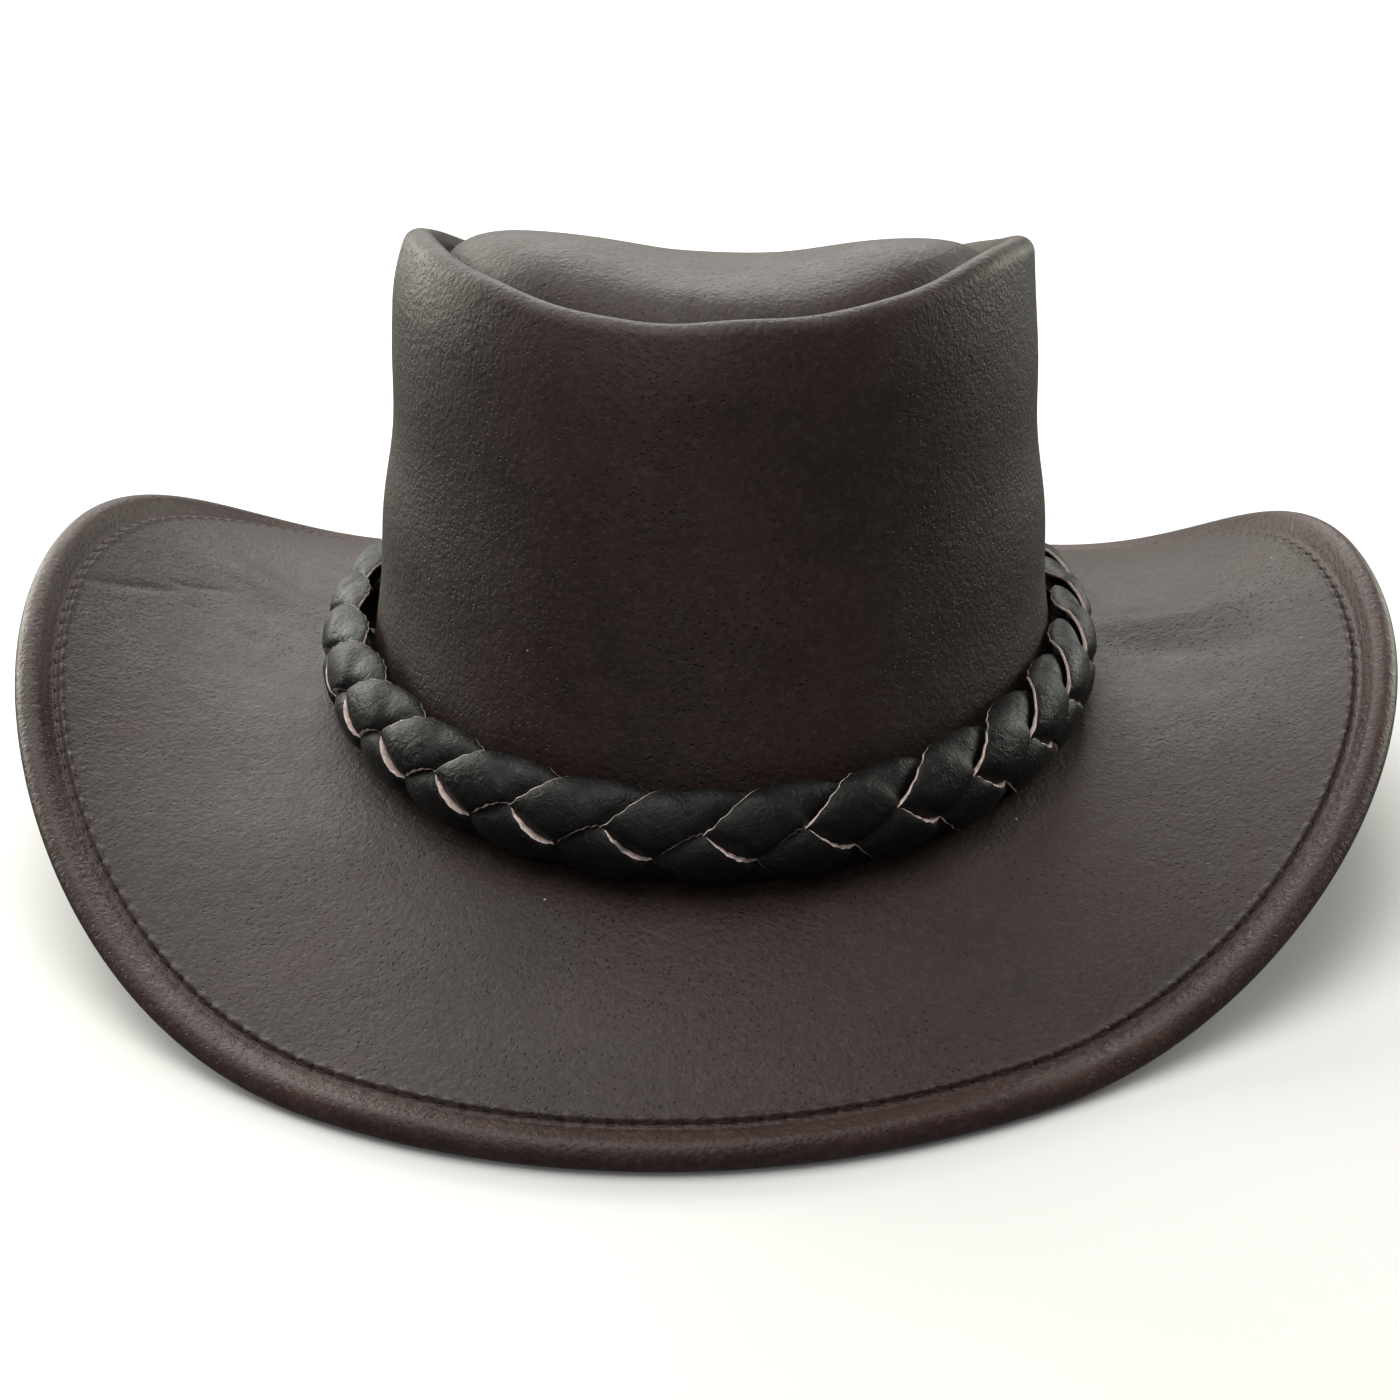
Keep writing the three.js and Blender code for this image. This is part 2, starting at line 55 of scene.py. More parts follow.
# The brim's outline: how far it reaches past the head oval, and how uneven it is.
BRIM_REACH_FRONT = 79
BRIM_REACH_SIDE = 84.5
BRIM_SKEW = 3
BRIM_SWERVE = 5  # on the right the front and the back are shorter again, and the side fuller
WIRE_INSET = 3.6
CROWN_SHIFT = 2.5

# The brim's heights and slopes: where it joins the crown, and how its sides curl up.
JOIN_HEIGHT_FRONT = 28.5
JOIN_HEIGHT_SIDE = 34
SIDE_LIFT = 58
LIFT_CENTRE_LEFT = math.radians(98)
LIFT_CENTRE_RIGHT = math.radians(97)
LIFT_SPREAD_FRONT = math.radians(70)
LIFT_SPREAD_BACK = math.radians(58)
SLOPE_IN_FRONT = -0.3
SLOPE_IN_SIDE = -0.1
SLOPE_OUT_FRONT = -math.tan(math.pi / 8)
SLOPE_OUT_SIDE = 0.8
WIRE_HEIGHT = 3.5

# The brim's two sheets and its rolled edge.
SHEET_GAP = 0.15
UPPER_THICK = 1.6
LOWER_THICK = 1.3
ROLL_RADIUS = 3.5
HEM_WIDTH = 7  # from the wire to the row of stitches
STITCH_PITCH = 5.4

# The crown's wall, the fold at its top, and the line of its rim.
LEAN_FRONT = 17
LEAN_SIDE = 10
WAIST = 2.2
WALL_THICK = 1.8
WALL_DROP = 2
FOLD_RADIUS = 4.2
FOLD_TUCK = 5
SHOULDER = 3.1
SHOULDER_FROM = 0.87
SHOULDER_TALL = 16
TOP_HEIGHT = 158
TOP_FALL = 0.32
TOP_FALL_FROM = -28
TOP_FALL_BLEND = 10
RIM_DIP = 3
RIM_CREST = 7.5

# Gaps between pieces, and the sweatband.
CLEAR = 0.35
SWEAT_THICK = 1.3
SWEAT_TALL = 35

# The braid's strips are wider here than their solids and lie on a rounder face, so they stand proud of them.
STRANDS = 3
BRAID_WAVES = 9.5
STRIP_WIDTH = 12
STRIP_THICK = 2
STRIP_EDGE_LOW = 2.1
STRIP_EDGE_HIGH = 0.7
WAVE_HEIGHT = 9.1
LAYER_RISE = 3.3  # from a strip that lies under another to one that lies over it
FADE = 2.6
BRAID_ROUND = 12.5  # the radius of the band's face, up and down
BRAID_OUT = 8.6
BRAID_HUG = 0.9  # how much closer to the crown the sides are
BRAID_SHIFT = 1.0  # how far the band sits to the left
BRAID_START = 11
BRAID_CURL = math.radians(0.4)
BRAID_CURL_FROM = 7
LEAF_SOFTENING = 1.6
BRAID_UP = 13.2
BRAID_TILT = math.radians(3)


# ---- shared geometry ----

def mix(a, b, share):
    return a + (b - a) * share


def smoothstep(value):
    t = np.clip(value, 0, 1)
    return t * t * (3 - 2 * t)


def place(angle, out, up):
    """Points in metres from a section's points. angle is one for each row."""
    across = HEAD_HALF_LENGTH * np.sin(angle)
    along = -HEAD_HALF_WIDTH * np.cos(angle)
    size = np.hypot(across, along)
    x = HAT_X + HEAD_HALF_WIDTH * np.sin(angle) + out * across / size
    y = HAT_Y - HEAD_HALF_LENGTH * np.cos(angle) + out * along / size
    return np.stack(np.broadcast_arrays(x, y, up), axis=-1) * MM


def turns(count):
    """A column of angles all the way round, starting at the back."""
    return (np.arange(count) * (2 * math.pi / count) - math.pi)[:, None]


def unit(vectors):
    return vectors / np.linalg.norm(vectors, axis=-1, keepdims=True)


def normals_of(out, up):
    """The left-hand normals of a section's line."""
    run = np.gradient(out, axis=1)
    rise = np.gradient(up, axis=1)
    size = np.hypot(run, rise)
    return -rise / size, run / size


ROUND_END_POINTS = 3


def thick_line(out, up, thick, relief=0.0):
    """A strip of leather's outline round a line, with rounded ends. relief raises its left-hand face."""
    out, up = np.broadcast_arrays(out, up)
    across, above = normals_of(out, up)
    half = thick / 2
    face = (out + across * (half + relief), up + above * (half + relief))
    rear = (out - across * half, up - above * half)

    def end(column, direction):
        turn = np.arange(1, ROUND_END_POINTS + 1) * math.pi / (ROUND_END_POINTS + 1)
        normal = (across[:, column, None], above[:, column, None])
        tangent = (normal[1] * direction, -normal[0] * direction)
        cos, sin = np.cos(turn), np.sin(turn)
        x = out[:, column, None] + half * (normal[0] * cos + tangent[0] * sin)
        y = up[:, column, None] + half * (normal[1] * cos + tangent[1] * sin)
        return x, y

    last_x, last_y = end(-1, 1)
    first_x, first_y = end(0, -1)
    x = np.concatenate([face[0], last_x, rear[0][:, ::-1], first_x[:, ::-1]], axis=1)
    y = np.concatenate([face[1], last_y, rear[1][:, ::-1], first_y[:, ::-1]], axis=1)
    return x, y


def new_object(name, points, faces, slots=None):
    mesh = bpy.data.meshes.new(name)
    mesh.from_pydata(points.reshape(-1, 3).tolist(), [], faces)
    mesh.polygons.foreach_set("use_smooth", [True] * len(mesh.polygons))
    if slots is not None:
        mesh.polygons.foreach_set("material_index", slots)
    obj = bpy.data.objects.new(name, mesh)
    bpy.context.scene.collection.objects.link(obj)
    return obj


def lofted(name, rings, closed, edge_columns=()):
    """A closed body through rings of points [ring, point, xyz]. edge_columns take the second material."""
    rows, columns, _ = rings.shape
    i = np.arange(rows if closed else rows - 1)[:, None]
    j = np.arange(columns)[None, :]
    here, over = i * columns, (i + 1) % rows * columns
    beside = (j + 1) % columns
    quads = np.stack([here + j, here + beside, over + beside, over + j], axis=-1)
    middle = rings.mean(axis=(0, 1))
    a, b, c, d = (rings.reshape(-1, 3)[quads[..., k]] - middle for k in range(4))
    volume = np.einsum("...i,...i->...", a, np.cross(b, c) + np.cross(c, d)).sum()
    if volume < 0:
        quads = quads[..., ::-1]
    faces = quads.reshape(-1, 4).tolist()
    on_edge = np.broadcast_to(np.isin(j, list(edge_columns)), quads.shape[:2])
    slots = on_edge.astype(int).reshape(-1).tolist()
    if not closed:
        first = list(range(columns))
        last = [(rows - 1) * columns + k for k in first]
        caps = [first[::-1], last] if volume > 0 else [first, last[::-1]]
        faces += caps
        slots += [1 if edge_columns else 0] * 2
    return new_object(name, rings, faces, slots if edge_columns else None)


def finish_piece(obj, body, slot, materials, *nodes):
    for material in materials:
        obj.data.materials.append(material)
    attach(obj, body)
    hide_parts(*nodes)
    return obj


BEAD_RINGS = 7
BEAD_SIDES = 8


def stitches(name, centres, along, out, length, width):
    """One mesh of sewn stitches: each is a slim bead along the seam, with its ends in the leather."""
    steps = np.linspace(-1, 1, BEAD_RINGS)
    sides = np.arange(BEAD_SIDES) * (2 * math.pi / BEAD_SIDES)
    radius = width / 2 * np.sqrt(1 - 0.92 * steps ** 2)
    sink = -0.35 * width * steps ** 4
    side = unit(np.cross(along, out))
    ring = (
        centres[:, None, None] + along[:, None, None] * (steps * length / 2)[None, :, None, None]
        + out[:, None, None] * (sink[:, None] + radius[:, None] * np.cos(sides))[None, :, :, None]
        + side[:, None, None] * (radius[:, None] * np.sin(sides))[None, :, :, None]
    )
    faces = []
    for k in range(len(centres)):
        first = k * BEAD_RINGS * BEAD_SIDES
        last = first + (BEAD_RINGS - 1) * BEAD_SIDES
        for i in range(BEAD_RINGS - 1):
            for j in range(BEAD_SIDES):
                a = first + i * BEAD_SIDES + j
                b = first + i * BEAD_SIDES + (j + 1) % BEAD_SIDES
                faces.append([a, b, b + BEAD_SIDES, a + BEAD_SIDES])
        faces.append([first + j for j in reversed(range(BEAD_SIDES))])
        faces.append([last + j for j in range(BEAD_SIDES)])
    return new_object(name, ring, faces)


# ---- the brim's shape ----

def side_lift(angle):
    """How far the brim is curled up: 1 at the middle of each side, 0 at the front and the back."""
    turned = np.arctan2(np.sin(angle), np.cos(angle))
    past = np.abs(turned) - np.where(turned > 0, LIFT_CENTRE_RIGHT, LIFT_CENTRE_LEFT)
    t = past / np.where(past < 0, LIFT_SPREAD_FRONT, LIFT_SPREAD_BACK)
    return np.where(np.abs(t) < 1, 0.5 + 0.5 * np.cos(np.pi * t), 0)


def join_height(angle):
    return mix(JOIN_HEIGHT_FRONT, JOIN_HEIGHT_SIDE, np.sin(angle) ** 2)


def wire_reach(angle):
    """How far the wire in the brim's edge lies out from the head oval."""
    across = np.sin(angle)
    reach = mix(BRIM_REACH_FRONT, BRIM_REACH_SIDE, across ** 2)
    swerve = BRIM_SWERVE * np.sin(4 * angle) * ((1 + across) / 2) ** 2
    return reach - CROWN_SHIFT * across - BRIM_SKEW * np.sin(2 * angle) - swerve - WIRE_INSET


def slope_out(angle):
    return mix(SLOPE_OUT_FRONT, SLOPE_OUT_SIDE, side_lift(angle))


def brim_middle(angle, share):
    """The line between the brim's two sheets, from the crown (share 0) to the wire (share 1)."""
    lift = side_lift(angle)
    reach = wire_reach(angle)
    s = share
    up = (
        join_height(angle) * (2 * s ** 3 - 3 * s ** 2 + 1)
        + reach * mix(SLOPE_IN_FRONT, SLOPE_IN_SIDE, lift) * (s ** 3 - 2 * s ** 2 + s)
        + (WIRE_HEIGHT + SIDE_LIFT * lift) * (3 * s ** 2 - 2 * s ** 3)
        + reach * slope_out(angle) * (s ** 3 - s ** 2)
    )
    return np.broadcast_arrays(reach * s, up)


def share_behind(angle, distance):
    """The share of the brim that is a distance inwards from the wire, along the slope."""
    return 1 - distance / np.hypot(1, slope_out(angle)) / wire_reach(angle)


def ridge(x, y, start, end, width):
    """1 along the middle of a line in plan, fading to its sides and its ends."""
    run = np.array(end) - np.array(start)
    length = np.hypot(*run)
    along = ((x - start[0]) * run[0] + (y - start[1]) * run[1]) / length ** 2
    across = ((x - start[0]) * run[1] - (y - start[1]) * run[0]) / length
    beyond = np.maximum(np.abs(along - 0.5) - 0.2, 0) / 0.3
    return np.exp(-((across / width) ** 2)) * np.exp(-(beyond ** 2) * 1.5)


# The brim's folds and creases in plan: height, where each starts and ends, and how wide it is.
BRIM_FOLDS = (
    (-0.55, (-164, 4), (-141, 25), 1.5),
    (-0.4, (-147, 24), (-130, 34), 1.2),
    (1.3, (-140, 54), (-92, 26), 7),
    (-1.3, (100, 16), (150, -2), 8),
    (1.4, (96, 34), (150, 20), 7),
)
# The slow waves round the brim: height, waves in a turn, where they start, and how they slant.
BRIM_WAVES = ((0.5, 5, 0.6, 0), (0.35, 9, 2.1, 0), (0.25, 14, 0, 4))


def drape(angle, share):
    """How far the soft brim stands off its even shape, in millimetres: slow waves, and a few creases."""
    points = place(angle, *brim_middle(angle, share)) / MM
    x, y = points[..., 0], points[..., 1]
    free = np.sin(np.pi * np.clip(share, 0, 1)) ** 1.2
    waves = 0
    for height, count, start, slant in BRIM_WAVES:
        waves = waves + height * np.sin(count * angle + start + slant * share)
    folds = 0
    for height, start, end, width in BRIM_FOLDS:
        folds = folds + height * ridge(x, y, start, end, width)
    return free * waves + folds


def brim_line(angle, share, above):
    """A line at a height above the middle of the brim, draped."""
    out, up = brim_middle(angle, share)
    nudge = 1e-3
    ahead, behind = brim_middle(angle, share + nudge), brim_middle(angle, share - nudge)
    run, rise = ahead[0] - behind[0], ahead[1] - behind[1]
    size = np.hypot(run, rise)
    lift = above + drape(angle, share)
    return out - rise / size * lift, up + run / size * lift


def round_wire(angle, radius, turn):
    """A point at a turn round the wire, measured up from the brim's own direction."""
    out, up = brim_middle(angle, 1.0)
    slope = np.arctan(slope_out(angle))
    return out + radius * np.cos(turn + slope), up + radius * np.sin(turn + slope)


# ---- the crown's shape ----

def lean(angle):
    return mix(LEAN_FRONT, LEAN_SIDE, np.sin(angle) ** 2)


def top_height(y):
    """The height of the crown along the hat: level in front, then falling to the back."""
    past = TOP_FALL_BLEND * np.log1p(np.exp((y - TOP_FALL_FROM) / TOP_FALL_BLEND))
    return TOP_HEIGHT - TOP_FALL * past


def rim_height(angle):
    y = place(angle, -lean(angle), 0.0)[..., 1] / MM - HAT_Y
    return top_height(y) - RIM_DIP + RIM_CREST * np.abs(np.sin(angle)) ** 2.5


FOLD_MIDDLE = FOLD_RADIUS - WALL_THICK / 2  # the radius of the middle of the folded leather


def shoulder(angle):
    """How far the wall rolls inwards below the fold: less on the right, where the corner stands out."""
    return SHOULDER * (1 - 0.85 * np.maximum(np.sin(angle), 0) ** 3)


def shoulder_turn(angle):
    return np.arctan(2 * shoulder(angle) / SHOULDER_TALL)


def wall_head(angle):
    """The height where the wall turns into the fold."""
    return rim_height(angle) - FOLD_RADIUS + FOLD_MIDDLE * np.sin(shoulder_turn(angle))


def fold_out(angle):
    """The middle of the fold's round."""
    return -lean(angle) - shoulder(angle) - WALL_THICK / 2 - FOLD_MIDDLE * np.cos(shoulder_turn(angle))


def wall_outside(angle, share):
    """The even outer face of the crown's wall, without its dents."""
    foot = join_height(angle) - WALL_DROP
    rolled = np.maximum(share - SHOULDER_FROM, 0) / (1 - SHOULDER_FROM)
    out = -lean(angle) * share - WAIST * np.sin(np.pi * share) - shoulder(angle) * rolled ** 2
    return np.broadcast_arrays(out, mix(foot, wall_head(angle), share))


def share_above(angle, above):
    foot = join_height(angle) - WALL_DROP
    return (above + WALL_DROP) / (wall_head(angle) - foot)


def dents(angle, share):
    """How far the soft wall stands out from its even shape."""
    free = np.sin(np.pi * np.clip(share, 0, 1))
    slow = 0.55 * np.sin(4 * angle + 0.8 + 3 * share) + 0.4 * np.sin(7 * angle - 4 * share)
    side_waves = 0.55 * np.sin(angle) ** 2 * np.sin(17 * share + 0.4)
    return free * (slow + side_waves)


# ---- the crown ----

BACK_GAP = math.radians(0.35)


def crown_wall(materials):
    """The wall with its folded rim, from the tucked edge inside, over the fold and down the outside."""
    angle = np.linspace(-BACK + BACK_GAP, BACK - BACK_GAP, 721)[:, None]
    sway = 0.5 * np.sin(3 * angle + 1.0) + 0.35 * np.sin(7 * angle + 0.4) + 0.2 * np.sin(13 * angle)
    centre_out = fold_out(angle)
    centre_up = rim_height(angle) - FOLD_RADIUS + sway
    tuck = np.linspace(-FOLD_TUCK, -0.8, 5)[None, :]
    turn = mix(math.pi, shoulder_turn(angle), np.linspace(0, 1, 17)[None, :])
    share = np.linspace(0.985, 0, 60)[None, :]
    wall_out, wall_up = wall_outside(angle, share)
    wall_out = wall_out - WALL_THICK / 2 + dents(angle, share)
    wall_up = wall_up + sway * smoothstep((share - 0.6) / 0.4)
    tuck_out = centre_out - FOLD_MIDDLE + 0 * tuck
    fold_across = FOLD_MIDDLE * np.cos(turn)
    fold_rise = FOLD_MIDDLE * np.sin(turn)
    out = np.concatenate([tuck_out, centre_out + fold_across, wall_out], axis=1)
    up = np.concatenate([centre_up + tuck, centre_up + fold_rise, wall_up], axis=1)
    rings = place(angle, *thick_line(out, up, WALL_THICK))
    obj = lofted("crown_wall", rings, closed=False)
    return finish_piece(obj, "hat", "leather", materials, "crown_side_panel")


# The top panel: how far it puffs up over the rim's line, and the hollow along it.
PANEL_THICK = 1.8
PANEL_RISE = 4.3
CREASE_DEPTH = 5.5
CREASE_HALF_WIDTH = 33
CREASE_MIDDLE = 7


def panel_points(angle, share, below):
    """The creased top: two soft humps beside a hollow down the middle, sewn down behind the fold."""
    seam_out = fold_out(angle) - FOLD_RADIUS - CLEAR
    seam_up = rim_height(angle) - FOLD_RADIUS - FOLD_TUCK + 1 - 1.5 * np.sin(angle) ** 2
    edge = place(angle, seam_out, seam_up)
    x = (edge[..., 0] / MM - HAT_X) * share
    y = (edge[..., 1] / MM - HAT_Y) * share
    crease = CREASE_DEPTH * np.exp(-(((x - CREASE_MIDDLE) / CREASE_HALF_WIDTH) ** 2))
    waves = 0.4 * np.sin(x / 9 + 1) * np.sin(y / 13) + 0.3 * np.sin((x + y) / 17)
    puckers = 0.25 * np.sin(26 * angle + 3 * np.sin(3 * angle)) * share ** 8
    left_hump = 0.9 * np.exp(-(((x + 48) / 20) ** 2))
    puffed = top_height(y) + PANEL_RISE - crease + waves + puckers + left_hump
    up = mix(puffed, seam_up, share ** 11) - below
    return np.stack([(x + HAT_X) * MM, (y + HAT_Y) * MM, up * MM], axis=-1)


def crown_top(materials):
    angle = turns(480).T
    share = np.concatenate([np.linspace(0.01, 0.8, 40), np.linspace(0.81, 1, 24)])[:, None]
    above = panel_points(angle, share, 0.0)
    under = panel_points(angle, share, PANEL_THICK)[::-1]
    obj = lofted("crown_top", np.concatenate([above, under]), closed=False)
    return finish_piece(obj, "hat", "leather", materials, "crown_top_panel")


TAPE_THICK = 0.8


def top_tape(materials):
    """The tape under the seam between the top panel and the wall, with its outer edge gathered."""
    angle = turns(360)
    middle = fold_out(angle) - FOLD_RADIUS
    up = rim_height(angle) - FOLD_RADIUS - FOLD_TUCK - PANEL_THICK - 1.4
    across = np.linspace(-5, 4.5, 9)[None, :]
    ripple = 0.12 * np.sin(60 * angle) * (across > 2)
    rings = place(angle, *thick_line(middle + across, up + ripple + 0 * across, TAPE_THICK))
    return finish_piece(lofted("top_tape", rings, closed=True), "hat", "tape", materials, "top_seam_tape")


def back_tape(materials):
    """The strip over the back seam, inside the wall."""
    angle = BACK + np.linspace(-1, 1, 13)[None, :] * math.radians(5)
    share = np.linspace(share_above(np.array([[BACK]]), SWEAT_TALL + 3)[0, 0], 0.84, 40)[:, None]
    out, up = wall_outside(angle, share)
    dent = dents(angle, share)
    inside = out + dent - WALL_THICK - CLEAR - 0.3
    near = place(angle, inside, up)
    far = place(angle, inside - TAPE_THICK, up)
    rings = np.concatenate([near, far[:, ::-1]], axis=1)
    return finish_piece(lofted("back_tape", rings, closed=False), "hat", "tape", materials, "back_seam_tape")


def back_stitches(side, materials):
    """One of the two rows of stitches beside the back seam."""
    name = "back_stitches_left" if side > 0 else "back_stitches_right"
    angle = BACK + side * math.radians(2.2)
    column = np.array([[angle]])
    share = np.linspace(share_above(column, 12)[0, 0], 0.965, 24)[None, :]
    ends = []
    for nudge in (-0.004, 0.0, 0.004):
        out, up = wall_outside(column, share + nudge)
        ends.append(place(column, out + dents(column, share + nudge) + 0.05, up)[0])
    outward = place(column, 1.0, 0.0)[0, 0] - place(column, 0.0, 0.0)[0, 0]
    outward = np.broadcast_to(outward / MM, ends[1].shape)
    obj = stitches(name, ends[1], unit(ends[2] - ends[0]), outward, 3.2 * MM, 0.8 * MM)
    node = "back_seam_thread_left" if side > 0 else "back_seam_thread_right"
    return finish_piece(obj, "hat", "thread", materials, node)


# ---- the brim ----

TABLE_SIZE = 2880
SAMPLES_PER_STITCH = 8

# The section's points across the hem, as distances inwards from the row of stitches: closer near the row.
FIELD_SIDE = [2.4, 1.8, 1.35, 1.0, 0.75, 0.55, 0.4, 0.27, 0.13]
ROLL_SIDE = [-0.13, -0.27, -0.4, -0.55, -0.75, -1.1]
BESIDE_STITCHES = FIELD_SIDE + [0] + ROLL_SIDE


def evenly_spaced(line, count):
    """Angles, starting at the back, that cut a closed line round the hat into equal lengths."""
    angle = turns(TABLE_SIZE)
    points = line(angle)
    steps = np.linalg.norm(np.roll(points, -1, axis=0) - points, axis=-1)
    lengths = np.concatenate([[0], np.cumsum(steps)])
    table = np.concatenate([angle[:, 0], [math.pi]])
    return np.interp(np.arange(count) * lengths[-1] / count, lengths, table)[:, None], lengths[-1]


def hem_line(distance, above):
    return lambda angle: place(angle, *brim_line(angle, share_behind(angle, distance), above))[:, 0]


# The hollow between the roll and the stitches: distances inwards from the wire, and the heights there.
VALLEY_DISTANCES = [3.1, 3.5, 3.9, 4.3, 4.7, 5.1, 5.5, 5.9, 6.4, 6.7, 7.05]
VALLEY_HEIGHTS = [0.59, 0.38, 0.15, -0.08, -0.29, -0.46, -0.58, -0.64, -0.59, -0.41, 0]


def valley_height(distance):
    return np.interp(distance, VALLEY_DISTANCES, VALLEY_HEIGHTS)


def bell(value, middle, width):
    """A smooth hump: 1 at its middle, fading to 0 past its width."""
    return np.exp(-(((value - middle) / width) ** 2))


def stitch_relief(distance, phase):
    """The dent that the hem's stitches pull into the leather, and the puckers between them."""
    groove = -0.4 * bell(distance, HEM_WIDTH, 0.22)
    bulge = 0.5 - 0.5 * np.cos(phase)
    hole = bell(np.sin(phase / 2), 0, 0.22)
    inner_lip = 0.42 * bell(distance, HEM_WIDTH + 0.9, 0.7) * (0.3 + bulge)
    outer_lip = 0.05 * bell(distance, HEM_WIDTH - 0.9, 0.6) * (0.35 + bulge)
    pulled = -1.0 * bell(distance, HEM_WIDTH + 0.15, 0.5) * hole
    return groove + inner_lip + outer_lip + pulled


def stitch_count():
    _, length = evenly_spaced(hem_line(HEM_WIDTH, 0.0), 2)
    return round(length / (STITCH_PITCH * MM))


# The edge turned under: distances inwards from the wire, and the heights there.
UNDER_DISTANCES = np.array([3.4, 4.2, 5.0, 5.8, 6.3])
UNDER_HEIGHTS = np.array([-2.0, -1.85, -1.6, -1.3, -1.1])


def brim_top(materials):
    """The upper leather: the brim's field, the hem, the roll round the wire and the edge turned under."""
    samples = stitch_count() * SAMPLES_PER_STITCH
    angle, _ = evenly_spaced(hem_line(HEM_WIDTH, 0.0), samples)
    phase = np.arange(samples)[:, None] * (2 * math.pi / SAMPLES_PER_STITCH)
    middle = SHEET_GAP + UPPER_THICK / 2
    field = mix(0.008, share_behind(angle, HEM_WIDTH + 3), np.linspace(0, 1, 48)[None, :])
    hem = HEM_WIDTH + np.array(BESIDE_STITCHES)
    valley = np.array([5.5, 5.1, 4.7, 4.3, 3.9, 3.5, 3.1])
    distance = np.concatenate([hem, valley])[None, :]
    roll = np.radians(np.linspace(124, -120, 24))[None, :]
    lines = [
        brim_line(angle, field, middle),
        brim_line(angle, share_behind(angle, distance), middle + valley_height(distance)),
        round_wire(angle, ROLL_RADIUS - UPPER_THICK / 2, roll),
        brim_line(angle, share_behind(angle, UNDER_DISTANCES[None, :]), UNDER_HEIGHTS[None, :]),
    ]
    out = np.concatenate([line[0] for line in lines], axis=1)
    up = np.concatenate([line[1] for line in lines], axis=1)
    relief = np.zeros_like(out)
    start = field.shape[1]
    relief[:, start:start + distance.shape[1]] = stitch_relief(distance, phase)
    rings = place(angle, *thick_line(out, up, UPPER_THICK, relief))
    hem_start = start + BESIDE_STITCHES.index(0)
    hem_end = 2 * out.shape[1] + ROUND_END_POINTS - hem_start
    obj = lofted("brim_top", rings, closed=True, edge_columns=range(hem_start, hem_end))
    return finish_piece(obj, "hat", "leather", materials, "brim_upper")


def brim_underside(materials):
    angle = turns(720)
    share = mix(0.008, share_behind(angle, HEM_WIDTH + 0.4), np.linspace(0, 1, 40)[None, :])
    out, up = brim_line(angle, share, -SHEET_GAP - LOWER_THICK / 2)
    rings = place(angle, *thick_line(out, up, LOWER_THICK))
    obj = lofted("brim_underside", rings, closed=True)
    return finish_piece(obj, "hat", "suede", materials, "brim_lower")


def edge_stitches(name, node, distance, above, materials):
    """A row of stitches in the hem, each midway between two holes."""
    line = hem_line(distance, above)
    angle, _ = evenly_spaced(hem_line(HEM_WIDTH, 0.0), stitch_count() * 2)
    angle = angle[1::2]
    centres = line(angle)
    along = unit(line(angle + 0.002) - line(angle - 0.002))
    across = unit(hem_line(distance + 0.5, above)(angle) - centres)
    up = unit(np.cross(along, across))
    up = up * np.sign(up[:, 2:3]) * math.copysign(1, above)
    obj = stitches(name, centres, along, up, 4.3 * MM, 0.65 * MM)
    return finish_piece(obj, "hat", "thread", materials, node)


# ---- the sweatband ----

def sweat_line(angle, above, depth):
    """Points inside the wall. above is the height over the brim, and depth is inwards from the gap."""
    out, up = wall_outside(angle, share_above(angle, above))
    return out - WALL_THICK - CLEAR - depth, up


SWEAT_JOINT_GAP = math.radians(0.4)


def sweatband(materials):
    """The band inside the crown's foot, waved a little at its free upper edge."""
    angle = np.linspace(-BACK + SWEAT_JOINT_GAP, BACK - SWEAT_JOINT_GAP, 541)[:, None]
    above = np.linspace(-1.5, SWEAT_TALL, 30)[None, :]
    lift = above / SWEAT_TALL
    wave = 0.35 * np.sin(11 * angle + 1) * lift ** 2 + 0.3 * smoothstep((lift - 0.85) / 0.15)
    out, up = sweat_line(angle, above + 0 * angle, 0.2 + SWEAT_THICK / 2)
    rings = place(angle, *thick_line(out - wave, up, SWEAT_THICK))
    return finish_piece(lofted("sweat_band", rings, closed=False), "hat", "suede", materials, "sweatband")


def sweatband_tab(materials):
    """The tab over the joint in the sweatband, at the back."""
    angle = BACK + np.linspace(-1, 1, 33)[:, None] * math.radians(7)
    above = np.linspace(3, SWEAT_TALL - 4, 24)[None, :]
    out, up = sweat_line(angle, above + 0 * angle, 0.4 + SWEAT_THICK + CLEAR + 0.5)
    rings = place(angle, *thick_line(out, up, 0.9))
    obj = lofted("sweat_tab", rings, closed=False)
    return finish_piece(obj, "hat", "suede", materials, "sweatband_joint_tab")


def sweatband_stitches(materials):
    angle = turns(150)

    def line(a):
        return place(a, *sweat_line(a, np.array([[2.0]]), 0.25 + SWEAT_THICK))[:, 0]

    centres = line(angle)
    inward = unit((place(angle, -1.0, 0.0) - place(angle, 0.0, 0.0))[:, 0])
    along = unit(line(angle + 0.004) - line(angle - 0.004))
    obj = stitches("sweat_stitches", centres, along, inward, 3.0 * MM, 0.7 * MM)
    return finish_piece(obj, "hat", "thread", materials, "sweatband_thread")


# ---- the braided band ----

# Angles round the hat, and the lengths along the band's line there.
BAND_TABLE = np.linspace(-math.pi, math.pi, TABLE_SIZE + 1)
BAND_POINTS = place(BAND_TABLE[:, None], np.array([[BRAID_OUT - 2]]), 0.0)[:, 0] / MM
BAND_STEPS = np.linalg.norm(np.diff(BAND_POINTS, axis=0), axis=-1)
BAND_LENGTHS = np.concatenate([[0], np.cumsum(BAND_STEPS)])
BAND_LENGTH = BAND_LENGTHS[-1]
WAVE_LENGTH = BAND_LENGTH / BRAID_WAVES


